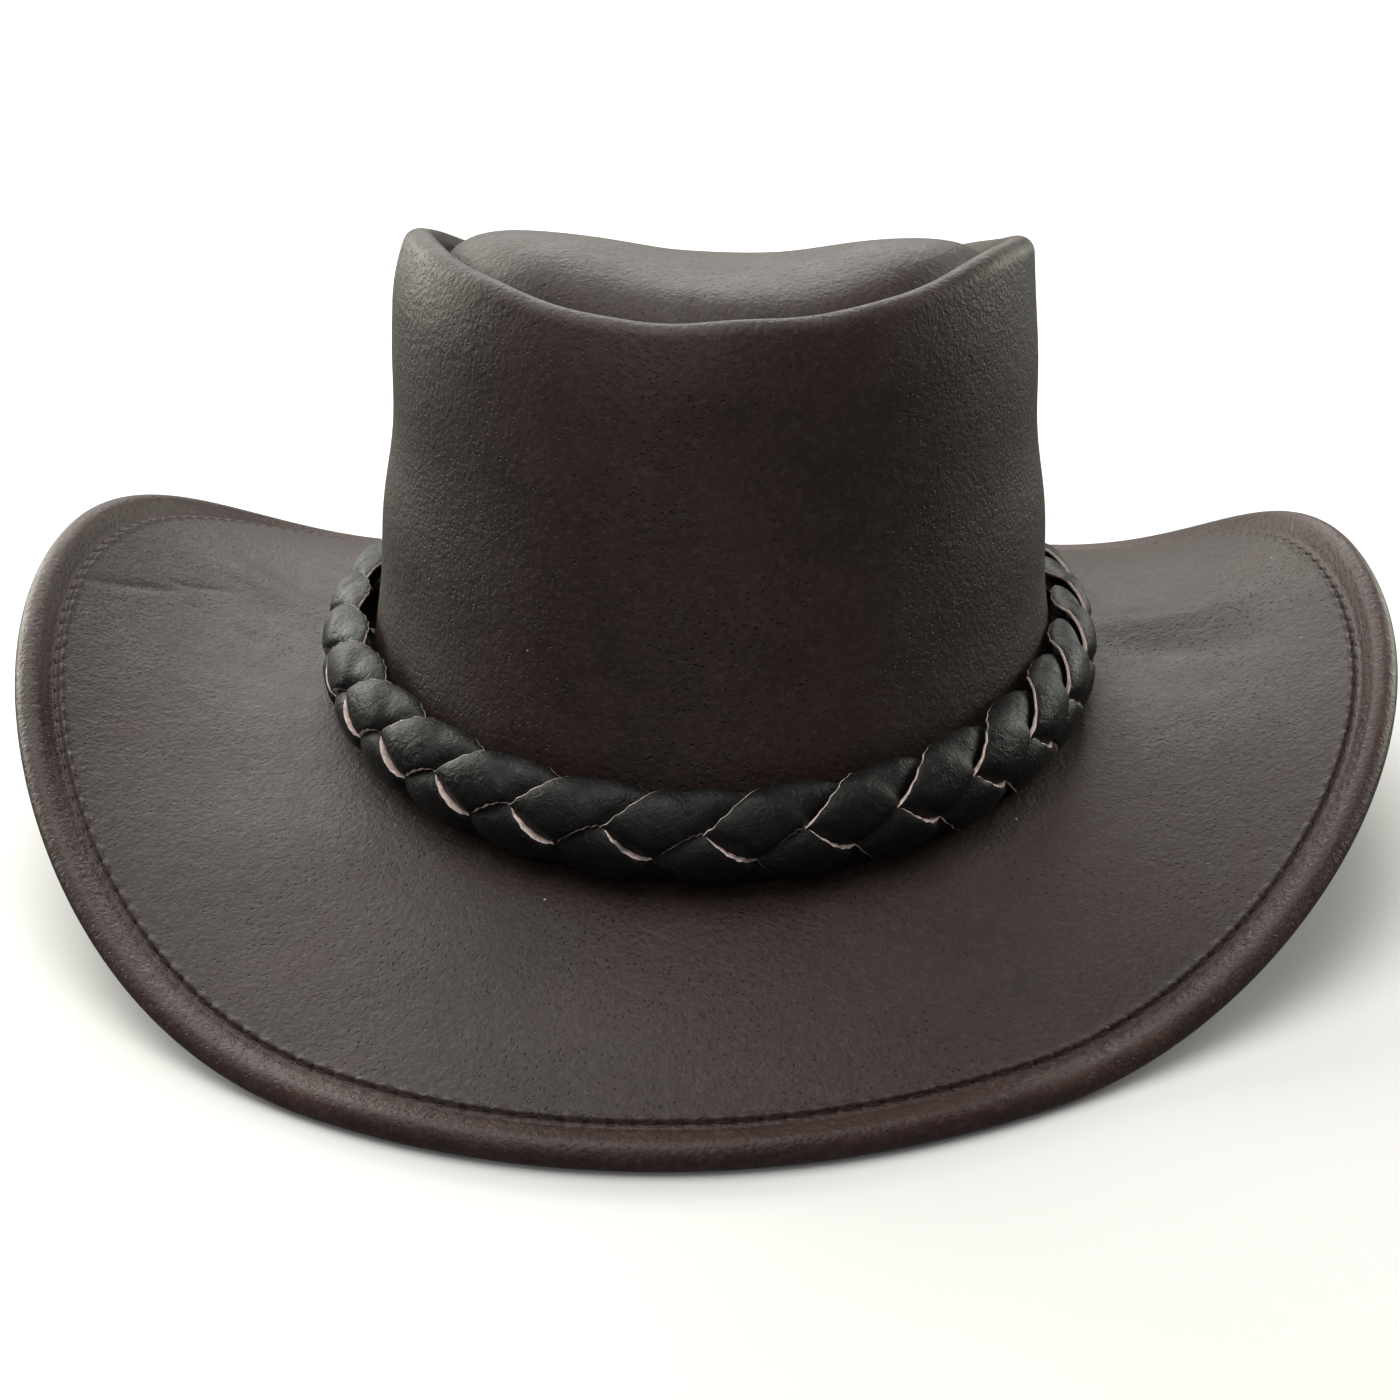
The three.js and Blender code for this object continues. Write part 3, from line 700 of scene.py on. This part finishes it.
def wave_phase(strand, along):
    return 2 * np.pi * (along + BRAID_START) / WAVE_LENGTH + 2 * np.pi * strand / STRANDS


def wave_height(strand, along):
    return WAVE_HEIGHT * np.sin(wave_phase(strand, along))


def wave_slope(strand, along):
    return WAVE_HEIGHT * 2 * np.pi / WAVE_LENGTH * np.cos(wave_phase(strand, along))


def coverage(strand, along, across):
    """1 where a strip covers a place on the band, fading to 0 beside it."""
    away = np.abs(across - wave_height(strand, along)) / np.hypot(1, wave_slope(strand, along))
    return 1 - smoothstep((away - STRIP_WIDTH / 2) / FADE)


def layer_height(strand, along, across):
    """In the upper half the rising strip lies on top, and in the lower half the falling one."""
    height = np.zeros_like(across)
    for other in range(STRANDS):
        if other == strand:
            continue
        middle = wave_height(strand, along) + wave_height(other, along)
        rising = np.cos(wave_phase(strand, along)) - np.cos(wave_phase(other, along))
        height += np.sign(middle * rising) * coverage(other, along, across)
    return height * LAYER_RISE / 2


def band_turn(across):
    """Which way the band's face looks: up above its middle, down below it, and curled in at its top."""
    past = np.maximum(across - BRAID_CURL_FROM, 0)
    return BRAID_TILT + across / BRAID_ROUND + BRAID_CURL * past ** 2


# Distances up the band's face from its middle, and how far out and up each lies.
FACE_STEP = 0.05
FACE_HALF = 18
FACE_TABLE = np.arange(-FACE_HALF, FACE_HALF + FACE_STEP, FACE_STEP)
FACE_OUT = -np.cumsum(np.sin(band_turn(FACE_TABLE))) * FACE_STEP
FACE_UP = np.cumsum(np.cos(band_turn(FACE_TABLE))) * FACE_STEP
FACE_OUT -= np.interp(0, FACE_TABLE, FACE_OUT)
FACE_UP -= np.interp(0, FACE_TABLE, FACE_UP)


def on_band(along, across, out):
    """A place on the band: along it, up its rounded face, and out from that face."""
    angle = np.interp(along, BAND_LENGTHS, BAND_TABLE)
    turn = band_turn(across)
    middle = BRAID_OUT - BRAID_HUG * np.sin(angle) ** 2 - BRAID_SHIFT * np.sin(angle)
    x = middle + np.interp(across, FACE_TABLE, FACE_OUT) + out * np.cos(turn)
    y = join_height(angle) + BRAID_UP + np.interp(across, FACE_TABLE, FACE_UP) + out * np.sin(turn)
    return place(angle, x, y)


def softened(heights, step):
    """The same heights with their kinks along the strip rounded off."""
    reach = math.ceil(3 * LEAF_SOFTENING / step)
    weights = np.exp(-0.5 * (np.arange(-reach, reach + 1) * step / LEAF_SOFTENING) ** 2)
    padded = np.pad(heights, ((reach, reach), (0, 0)), mode="edge")
    rows = [padded[k:k + len(heights)] * weight for k, weight in enumerate(weights)]
    return np.sum(rows, axis=0) / weights.sum()


STRIP_FACE_POINTS = 13
STRIP_REAR_POINTS = 7
STRIP_CORNER = 0.8  # the share of the thickness that a cut edge keeps between its rounded corners
STRIP_RINGS_PER_WAVE = 72
BAND_END_GAP = 2.5


def strip_section():
    """A strip's outline: shares across it, which face each point is on, and the columns of its cut edges."""
    face = np.linspace(-0.975, 0.975, STRIP_FACE_POINTS)
    rear = np.linspace(0.975, -0.975, STRIP_REAR_POINTS)
    share = np.concatenate([face, [1, 1], rear, [-1, -1]])
    far_edge, near_edge = [STRIP_CORNER, -STRIP_CORNER], [-STRIP_CORNER, STRIP_CORNER]
    side = np.concatenate([np.ones(STRIP_FACE_POINTS), far_edge, -np.ones(STRIP_REAR_POINTS), near_edge])
    far_start = STRIP_FACE_POINTS - 1
    near_start = STRIP_FACE_POINTS + STRIP_REAR_POINTS + 1
    edges = (*range(far_start, far_start + 3), *range(near_start, near_start + 3))
    return share[None, :], side[None, :], edges


def braid_strand(strand, materials):
    """One strip: crowned, with its cut edges in the second material, thicker in the band's lower half."""
    share, side, edges = strip_section()
    rings_round = round(BRAID_WAVES * STRIP_RINGS_PER_WAVE)
    along = np.linspace(BAND_END_GAP, BAND_LENGTH - BAND_END_GAP, rings_round)[:, None]
    slope = wave_slope(strand, along)
    ragged = 0.12 * np.sin(along * 1.9 + strand) + 0.1 * np.sin(along * 4.3 + 2 * strand)
    sideways = share * (STRIP_WIDTH / 2 + ragged * np.abs(share) ** 4)
    u = along - sideways * slope / np.hypot(1, slope)
    v = wave_height(strand, along) + sideways / np.hypot(1, slope)
    edge_thick = mix(STRIP_EDGE_LOW, STRIP_EDGE_HIGH, smoothstep(v / 6 - 0.2))
    thick = mix(STRIP_THICK, edge_thick, np.abs(share) ** 3)
    crown = 0.5 * (1 - share ** 2)
    layer = softened(layer_height(strand, u, v), along[1, 0] - along[0, 0])
    rings = on_band(u, v, layer + crown + side * thick / 2)
    obj = lofted(f"braid_{strand + 1}", rings, closed=False, edge_columns=edges)
    return finish_piece(obj, "band", "lace", materials, f"braid_strand_{strand + 1}")


# The keeper over the joint in the braid: an arch with its middle KEEPER_BACK out from the head oval.
KEEPER_HALF_LENGTH = 14
KEEPER_THICK = 1.3
KEEPER_TALL = WAVE_HEIGHT + STRIP_WIDTH / 2 + 1.0
KEEPER_DEEP = 9.3
KEEPER_BACK = 3.4


def keeper_line(angle, turn):
    """A squarish arch over the braid."""
    x = KEEPER_DEEP * np.sign(np.cos(turn)) * np.abs(np.cos(turn)) ** 0.55
    y = KEEPER_TALL * np.sign(np.sin(turn)) * np.abs(np.sin(turn)) ** 0.62
    out = KEEPER_BACK - math.sin(BRAID_TILT) * y + math.cos(BRAID_TILT) * x
    up = join_height(angle) + BRAID_UP + math.cos(BRAID_TILT) * y + math.sin(BRAID_TILT) * x
    return out, up


def band_keeper(materials):
    half = KEEPER_HALF_LENGTH / (HEAD_HALF_WIDTH + BRAID_OUT)
    angle = BACK + np.linspace(-1, 1, 41)[:, None] * half
    turn = np.radians(np.linspace(-97, 97, 48))[None, :]
    rings = place(angle, *thick_line(*keeper_line(angle, turn), KEEPER_THICK))
    return finish_piece(lofted("keeper", rings, closed=False), "band", "lace", materials, "band_keeper")


def keeper_stitches(side, materials):
    """The row of stitches along one end of the keeper."""
    name = "keeper_stitches_left" if side > 0 else "keeper_stitches_right"
    node = "keeper_thread_left" if side > 0 else "keeper_thread_right"
    angle = np.array([[BACK + side * (KEEPER_HALF_LENGTH - 3) / (HEAD_HALF_WIDTH + BRAID_OUT)]])
    turn = np.radians(np.linspace(-52, 52, 7))[None, :]
    before, row, ahead = (keeper_line(angle, turn + nudge) for nudge in (-0.02, 0.0, 0.02))
    along = unit(place(angle, *ahead)[0] - place(angle, *before)[0])
    centres = place(angle, *row)[0]
    round_band = unit(place(angle + 0.01, *row)[0] - centres)
    outward = unit(np.cross(along, round_band))
    outward *= np.sign(outward[:, 1:2])
    centres = centres + outward * (KEEPER_THICK / 2 + 0.05) * MM
    obj = stitches(name, centres, along, outward, 2.6 * MM, 0.75 * MM)
    return finish_piece(obj, "band", "thread", materials, node)


# ---- materials ----

class Nodes:
    """A material, with its nodes made and linked one at a time. Coordinates are the object's, in metres."""

    def __init__(self, name):
        self.material = bpy.data.materials.new(name)
        self.material.use_nodes = True
        self.tree = self.material.node_tree
        self.shader = self.tree.nodes["Principled BSDF"]
        self.place = self.tree.nodes.new("ShaderNodeTexCoord").outputs["Object"]

    def link(self, value, socket):
        if isinstance(value, bpy.types.NodeSocket):
            self.tree.links.new(value, socket)
        else:
            socket.default_value = value

    def add(self, kind, output, inputs, **settings):
        node = self.tree.nodes.new(kind)
        for key, value in settings.items():
            setattr(node, key, value)
        for key, value in inputs.items():
            self.link(value, node.inputs[key])
        return node.outputs[output]

    def noise(self, scale, detail=3.0, roughness=0.5, distortion=0.0, where=None):
        inputs = {"Vector": where or self.place, "Scale": scale, "Detail": detail}
        inputs.update({"Roughness": roughness, "Distortion": distortion})
        return self.add("ShaderNodeTexNoise", "Fac", inputs)

    def cells(self, scale, feature="F1", where=None):
        inputs = {"Vector": where or self.place, "Scale": scale, "Randomness": 1.0}
        return self.add("ShaderNodeTexVoronoi", "Distance", inputs, feature=feature)

    def ramp(self, value, low, high, at_low=0.0, at_high=1.0):
        inputs = {"Value": value, "From Min": low, "From Max": high, "To Min": at_low, "To Max": at_high}
        return self.add("ShaderNodeMapRange", "Result", inputs)

    def blend(self, share, first, second):
        node = self.tree.nodes.new("ShaderNodeMix")
        node.data_type = "RGBA"
        for value, key in ((share, 0), (first, 6), (second, 7)):
            self.link(value, node.inputs[key])
        return node.outputs[2]

    def sums(self, operation, first, second):
        node = self.tree.nodes.new("ShaderNodeMath")
        node.operation = operation
        self.link(first, node.inputs[0])
        self.link(second, node.inputs[1])
        return node.outputs[0]

    def bump(self, height, distance, strength=1.0, below=None):
        inputs = {"Height": height, "Distance": distance, "Strength": strength}
        if below:
            inputs["Normal"] = below
        return self.add("ShaderNodeBump", "Normal", inputs)

    def done(self, colour, roughness, normal, **constants):
        self.link(colour, self.shader.inputs["Base Color"])
        self.link(roughness, self.shader.inputs["Roughness"])
        if normal:
            self.link(normal, self.shader.inputs["Normal"])
        for key, value in constants.items():
            self.shader.inputs[key.replace("_", " ")].default_value = value
        return self.material


def grain_leather(name, dark, light, glint_colour, roughness=0.52, pores=1.0, dust=1.0):
    """Smooth-finished leather: pebbled grain, dark pores in patches, slow changes of tone, painted glints
    where light catches the grain, and dust.
    """
    n = Nodes(name)
    broad = n.noise(14, 4, 0.6)
    mottle = n.noise(90, 4, 0.65)
    tone = n.sums("ADD", n.sums("MULTIPLY", broad, 0.65), n.sums("MULTIPLY", mottle, 0.35))
    colour = n.blend(n.ramp(tone, 0.36, 0.62), dark, light)
    pull = n.noise(220, 2, 0.5, 0.6)
    pebble = n.cells(880, "SMOOTH_F1")
    fine = n.cells(1900)
    wrinkle = n.noise(430, 5, 0.62, 1.2)
    patch = n.ramp(n.noise(34, 3), 0.42, 0.66)
    pore_cells = n.cells(620)
    pore_share = n.ramp(patch, 0.0, 1.0, 0.25, pores)
    pore = n.sums("MULTIPLY", n.ramp(pore_cells, 0.24, 0.1), pore_share)
    colour = n.blend(n.sums("MULTIPLY", pore, 0.9), colour, [c * 0.15 for c in dark[:3]] + [1])
    # Painted glints: random lighter flecks in the colour that stand in for light catching the pebbled grain.
    painted_glints = n.ramp(n.noise(620, 3, 0.6), 0.5, 0.68)
    colour = n.blend(n.sums("MULTIPLY", painted_glints, 0.3), colour, glint_colour)
    dusty = n.ramp(n.noise(60, 1), 0.62, 0.66, 0.0, dust)
    speck = n.sums("MULTIPLY", n.ramp(n.cells(150), 0.05, 0.03), dusty)
    colour = n.blend(speck, colour, (0.45, 0.42, 0.38, 1))
    normal = n.bump(pull, 0.0007, 0.35)
    normal = n.bump(pebble, 0.0004, 0.38, normal)
    normal = n.bump(wrinkle, 0.0003, 0.22, normal)
    normal = n.bump(fine, 0.00015, 0.4, normal)
    normal = n.bump(pore, -0.0004, 0.9, normal)
    uneven = n.sums("ADD", n.sums("MULTIPLY", mottle, 0.5), n.sums("MULTIPLY", wrinkle, 0.5))
    rough = n.ramp(uneven, 0.3, 0.7, roughness - 0.07, roughness + 0.09)
    return n.done(colour, rough, normal, Specular_IOR_Level=0.25)


def lace_leather():
    """Black strap leather: smooth, with faint creases and rubbed patches."""
    n = Nodes("black_lace")
    mottle = n.noise(160, 4, 0.6)
    rubbed = n.ramp(n.noise(420, 5, 0.7), 0.58, 0.78)
    colour = n.blend(mottle, (0.002, 0.002, 0.0022, 1), (0.007, 0.0068, 0.0068, 1))
    colour = n.blend(n.sums("MULTIPLY", rubbed, 0.25), colour, (0.06, 0.056, 0.052, 1))
    crease = n.noise(260, 4, 0.6, 2.0)
    grain = n.cells(1500, "SMOOTH_F1")
    normal = n.bump(crease, 0.0006, 0.7)
    normal = n.bump(grain, 0.0002, 0.45, normal)
    rough = n.ramp(mottle, 0.3, 0.7, 0.4, 0.56)
    return n.done(colour, rough, normal, Specular_IOR_Level=0.2)


def raw_edge(name, pale, deep):
    """The cut edge of a strap: pale fibres, stained in places."""
    n = Nodes(name)
    fibre = n.noise(1400, 4, 0.7, 0.8)
    stain = n.ramp(n.noise(190, 3, 0.6), 0.5, 0.66)
    colour = n.blend(n.ramp(fibre, 0.3, 0.7), pale, deep)
    colour = n.blend(n.sums("MULTIPLY", stain, 0.75), colour, (0.05, 0.042, 0.04, 1))
    normal = n.bump(fibre, 0.0004, 0.8)
    return n.done(colour, 0.85, normal)


def suede_leather(name, dark, light):
    """The flesh side of leather: a fine nap over slow changes of tone."""
    n = Nodes(name)
    nap = n.noise(1500, 4, 0.7)
    broad = n.noise(22, 4, 0.6, 0.5)
    colour = n.blend(n.ramp(broad, 0.35, 0.65), dark, light)
    colour = n.blend(n.sums("MULTIPLY", nap, 0.35), colour, [c * 1.8 for c in light[:3]] + [1])
    normal = n.bump(n.noise(60, 3), 0.0008, 0.4)
    normal = n.bump(nap, 0.0003, 0.7, normal)
    return n.done(colour, 0.88, normal, Sheen_Weight=0.25, Sheen_Roughness=0.5)


def twisted_thread():
    """Waxed thread with the slant of its twist."""
    n = Nodes("waxed_thread")
    inputs = {"Vector": n.place, "Scale": 700, "Distortion": 3.0, "Detail": 2.0}
    ply = n.add("ShaderNodeTexWave", "Fac", inputs)
    colour = n.blend(ply, (0.012, 0.007, 0.006, 1), (0.04, 0.024, 0.02, 1))
    normal = n.bump(ply, 0.0002, 0.8)
    return n.done(colour, n.ramp(ply, 0, 1, 0.5, 0.7), normal)


def woven_tape():
    n = Nodes("woven_tape")
    warp = n.add("ShaderNodeTexWave", "Fac", {"Vector": n.place, "Scale": 420}, bands_direction="X")
    weft = n.add("ShaderNodeTexWave", "Fac", {"Vector": n.place, "Scale": 420}, bands_direction="Z")
    weave = n.sums("MULTIPLY", warp, weft)
    colour = n.blend(weave, (0.01, 0.009, 0.009, 1), (0.04, 0.036, 0.034, 1))
    return n.done(colour, 0.9, n.bump(weave, 0.0003, 0.7))


def drawn_metal(name, dark, light):
    n = Nodes(name)
    streaks = n.noise(300, 4, 0.7)
    colour = n.blend(streaks, dark, light)
    rough = n.ramp(streaks, 0.3, 0.7, 0.28, 0.5)
    return n.done(colour, rough, n.bump(streaks, 0.0001, 0.4), Metallic=1.0)


# ---- the assembly ----

# The third colour given to each grain leather is the colour of its painted glints.
hat_leather = grain_leather("chocolate_leather", (0.016, 0.0085, 0.0075, 1), (0.027, 0.0155, 0.013, 1),
                            (0.06, 0.045, 0.038, 1))
hem_leather = grain_leather("hem_leather", (0.019, 0.0085, 0.0075, 1), (0.035, 0.0175, 0.0155, 1),
                            (0.085, 0.052, 0.045, 1), roughness=0.46, pores=0.5, dust=0.0)
black_lace = lace_leather()
lace_edge = raw_edge("lace_raw_edge", (0.8, 0.68, 0.63, 1), (0.5, 0.34, 0.3, 1))
underside = suede_leather("brim_suede", (0.03, 0.019, 0.015, 1), (0.05, 0.032, 0.026, 1))
sweat_leather = grain_leather("sweatband_leather", (0.05, 0.028, 0.018, 1), (0.085, 0.05, 0.034, 1),
                              (0.14, 0.09, 0.07, 1), roughness=0.6, pores=0.4, dust=0.0)
thread = twisted_thread()
tape = woven_tape()

crown_wall([hat_leather])
crown_top([hat_leather])
top_tape([tape])
back_tape([tape])
for side in (1, -1):
    back_stitches(side, [thread])
    keeper_stitches(side, [thread])
brim_top([hat_leather, hem_leather])
brim_underside([underside])
THREAD_ABOVE = SHEET_GAP + UPPER_THICK - 0.5
THREAD_BELOW = -SHEET_GAP - UPPER_THICK - 0.35
edge_stitches("edge_stitches_top", "edge_thread_top", HEM_WIDTH, THREAD_ABOVE, [thread])
edge_stitches("edge_stitches_bottom", "edge_thread_bottom", HEM_WIDTH - 0.7, THREAD_BELOW, [thread])
sweatband([sweat_leather])
sweatband_tab([sweat_leather])
sweatband_stitches([thread])
for strand in range(STRANDS):
    braid_strand(strand, [black_lace, lace_edge])
band_keeper([black_lace])

for node, metal in (
    ("brim_wire", drawn_metal("spring_steel", (0.3, 0.31, 0.33, 1), (0.5, 0.51, 0.53, 1))),
    ("wire_joint_sleeve", drawn_metal("brass", (0.5, 0.36, 0.14, 1), (0.75, 0.58, 0.28, 1))),
):
    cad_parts[node].data.materials.clear()
    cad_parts[node].data.materials.append(metal)


# ---- the stage ----

FLOOR_RADIUS = 1.7
FLOOR_TONE = 0.64
BACKDROP_RADIUS = 6.0


def floor():
    """A round white floor. The leather doesn't mirror it, as if black card stood just out of view."""
    bpy.ops.mesh.primitive_circle_add(vertices=128, radius=FLOOR_RADIUS, fill_type="NGON")
    obj = bpy.context.object
    obj.name = "floor"
    n = Nodes("pale_floor")
    obj.data.materials.append(n.done((FLOOR_TONE, FLOOR_TONE, FLOOR_TONE, 1), 0.9, None))
    obj.visible_glossy = False


def backdrop():
    """A plain white surround that is seen past the floor and gives no light of its own to the hat."""
    bpy.ops.mesh.primitive_uv_sphere_add(segments=48, ring_count=24, radius=BACKDROP_RADIUS)
    obj = bpy.context.object
    obj.name = "backdrop"
    n = Nodes("white_backdrop")
    n.shader.inputs["Emission Color"].default_value = (1, 1, 1, 1)
    n.shader.inputs["Emission Strength"].default_value = 1.0
    obj.data.materials.append(n.done((0, 0, 0, 1), 1.0, None, Specular_IOR_Level=0.0))
    obj.visible_glossy = False
    obj.visible_diffuse = False
    obj.visible_shadow = False


LIGHT_TARGET = Vector((0, 0, 0.1))
WHITE = (1, 1, 1)
SIDE_TINT = (0.98, 1.0, 0.88)
WORLD_STRENGTH = 0.12

# Each soft light: its name, place and size in metres, power in watts, and tint.
LIGHTS = (
    ("overhead", (-0.25, -0.02, 1.5), (1.6, 1.2), 28, (1.0, 0.985, 0.94)),
    ("back_light", (-0.35, 1.5, 0.92), (1.8, 0.7), 28, (1.0, 0.99, 0.93)),
    ("front_fill", (-0.5, -1.5, 1.1), (1.2, 0.9), 6, WHITE),
    ("left_strip", (-1.05, 0.7, 0.4), (0.9, 0.7), 20, SIDE_TINT),
    ("right_strip", (1.05, 0.7, 0.4), (0.9, 0.7), 14, SIDE_TINT),
)


def soft_light(name, location, size, power, colour):
    data = bpy.data.lights.new(name, "AREA")
    data.shape = "RECTANGLE"
    data.size, data.size_y = size
    data.energy = power
    data.color = colour
    obj = bpy.data.objects.new(name, data)
    bpy.context.scene.collection.objects.link(obj)
    obj.location = location
    obj.rotation_euler = (LIGHT_TARGET - Vector(location)).to_track_quat("-Z", "Y").to_euler()


def studio():
    for light in LIGHTS:
        soft_light(*light)
    world = bpy.data.worlds.new("studio_air")
    world.use_nodes = True
    air = world.node_tree.nodes["Background"]
    air.inputs["Color"].default_value = (*WHITE, 1)
    air.inputs["Strength"].default_value = WORLD_STRENGTH
    bpy.context.scene.world = world


CAMERA_DISTANCE = 0.785
CAMERA_RISE = math.radians(22.6)
CAMERA_TURN = math.radians(1.5)
CAMERA_TARGET = Vector((0, 0, 0.06))
SENSOR = 36
LENS = 77.9
SHIFT_X = -0.0036
SHIFT_Y = -0.0857


def camera():
    bpy.context.scene.view_settings.view_transform = "Standard"
    data = bpy.data.cameras.new("camera")
    data.sensor_width = SENSOR
    data.lens = LENS
    data.shift_x = SHIFT_X
    data.shift_y = SHIFT_Y
    data.dof.use_dof = False
    obj = bpy.data.objects.new("camera", data)
    bpy.context.scene.collection.objects.link(obj)
    level = math.cos(CAMERA_RISE)
    back = Vector((math.sin(CAMERA_TURN) * level, -math.cos(CAMERA_TURN) * level, math.sin(CAMERA_RISE)))
    obj.location = CAMERA_TARGET + back * CAMERA_DISTANCE
    obj.rotation_euler = (-back).to_track_quat("-Z", "Y").to_euler()
    bpy.context.scene.camera = obj


floor()
backdrop()
studio()
camera()
